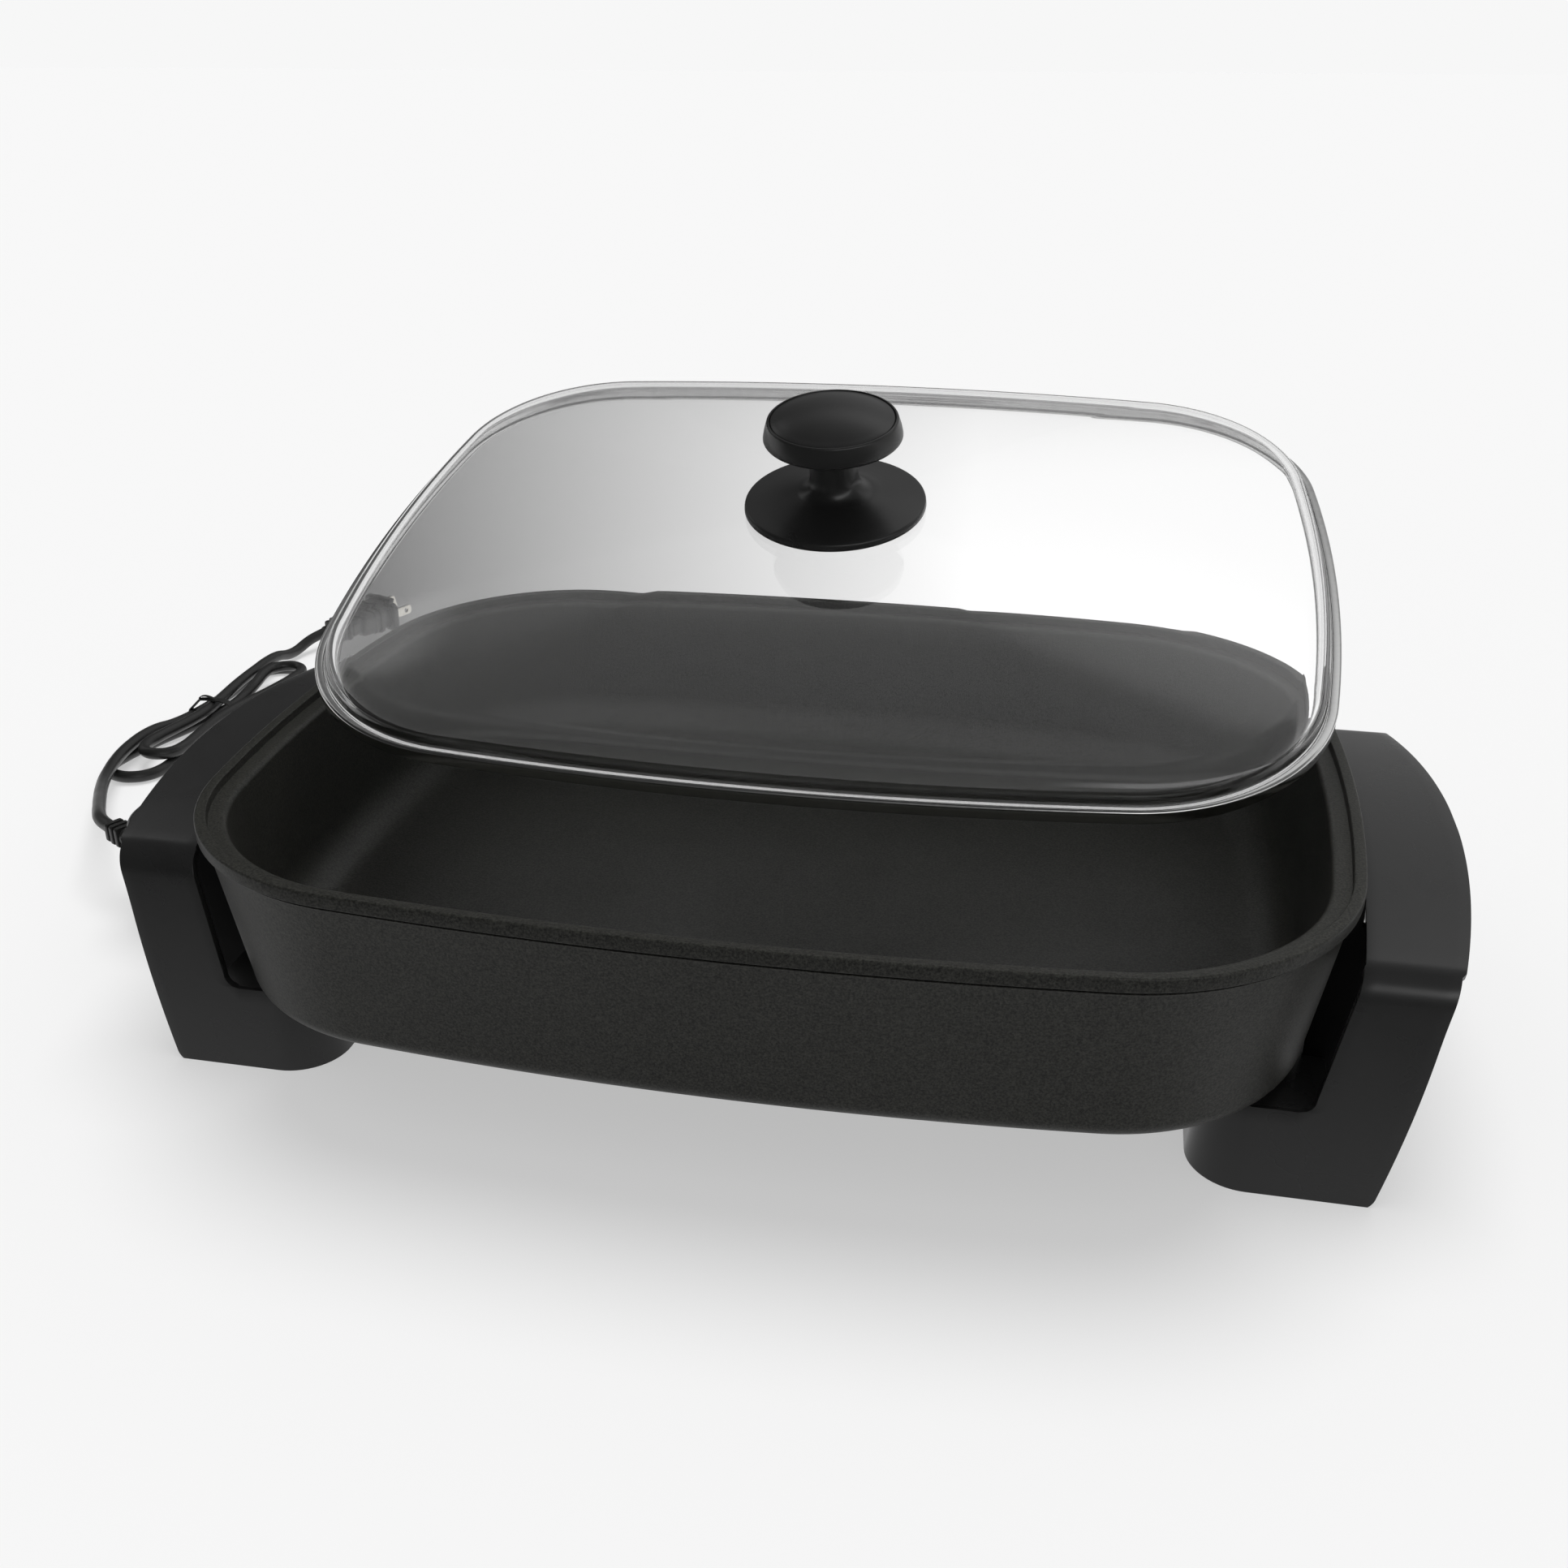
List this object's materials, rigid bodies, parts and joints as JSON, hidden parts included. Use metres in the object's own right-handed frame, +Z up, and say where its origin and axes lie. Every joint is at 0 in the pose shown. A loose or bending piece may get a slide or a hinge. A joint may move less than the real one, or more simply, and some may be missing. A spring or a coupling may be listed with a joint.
{
  "type": "electric skillet",
  "caption": "Deep oblong electric skillet on two moulded stands with hand grips, a loose glass lid with a knob, and a plug-in heat control with a folded cord",
  "frame": {"origin": "Centre of the object's box on the table top, measured without the cord, with the lid in its lifted pose", "axes": "+X along the pan's length, from the heat control's end to the plain end; +Y to the back, where the lid is lifted; +Z up"},
  "size_m": [0.6229, 0.5329, 0.2162],
  "materials": {
    "pan_coat": "die-cast, with a satin non-stick coating that has a fine orange-peel grain, charcoal with a warm tint",
    "cast_metal": "bare cast aluminium, matt",
    "heater_sheath": "drawn steel heater sheath, dull",
    "pin_steel": "nickel plated, satin",
    "bead_ceramic": "off-white insulator, matt",
    "guard_steel": "pressed sheet, satin",
    "stand_plastic": "moulded heat-proof black plastic, satin gloss",
    "screw_steel": "zinc plated, satin",
    "band_steel": "polished stainless steel band",
    "lid_glass": "clear tempered glass, polished",
    "knob_plastic": "moulded black plastic, glossy",
    "gasket_silicone": "red silicone seal, matt",
    "case_plastic": "moulded black plastic, satin",
    "sleeve_brass": "drawn brass contact, bright",
    "dial_plastic": "moulded black plastic, matt",
    "lens_red": "clear red lens, glossy",
    "cord_rubber": "black cord jacket, satin",
    "tie_plastic": "black twist tie, matt"
  },
  "bodies": {
    "base": {"pan": "pan_coat", "pan_bosses": "cast_metal", "heating_element": "heater_sheath", "terminal_pins": "pin_steel", "terminal_beads": "bead_ceramic", "sensor_well": "cast_metal", "terminal_guard": "guard_steel", "left_stand": "stand_plastic", "right_stand": "stand_plastic", "left_screws": "screw_steel", "right_screws": "screw_steel"},
    "lid": {"lid_band": "band_steel", "lid_glass": "lid_glass", "knob_base": "knob_plastic", "knob_cap": "knob_plastic", "knob_insert": "knob_plastic", "knob_gasket": "gasket_silicone", "knob_washer": "screw_steel", "knob_screw": "screw_steel"},
    "control": {"control_base": "case_plastic", "control_cover": "case_plastic", "case_screws": "screw_steel", "contact_sleeves": "sleeve_brass", "sensor_probe": "pin_steel", "probe_collar": "screw_steel", "indicator_lens": "lens_red", "strain_relief": "cord_rubber", "cord": "cord_rubber", "cord_hank": "cord_rubber", "cord_tail": "cord_rubber", "cord_tie": "tie_plastic", "plug_body": "cord_rubber", "plug_blades": "pin_steel"},
    "dial": {"control_dial": "dial_plastic", "dial_shaft": "screw_steel"}
  },
  "joints": [
    {"name": "lid_carry", "type": "hinge", "parent": "base", "child": "lid", "pos_m": [0.0245, -0.17331, 0.42258], "axis": [1, 0, 0], "range_deg": [-14.3, 25]},
    {"name": "control_pull", "type": "slide", "parent": "base", "child": "control", "axis": [-1, 0, 0], "range_m": [0, 0.06]},
    {"name": "dial_turn", "type": "hinge", "parent": "control", "child": "dial", "pos_m": [-0.2255, -0.03205, 0.052], "axis": [0, 0, 1], "range_deg": [0, 270]}
  ]
}
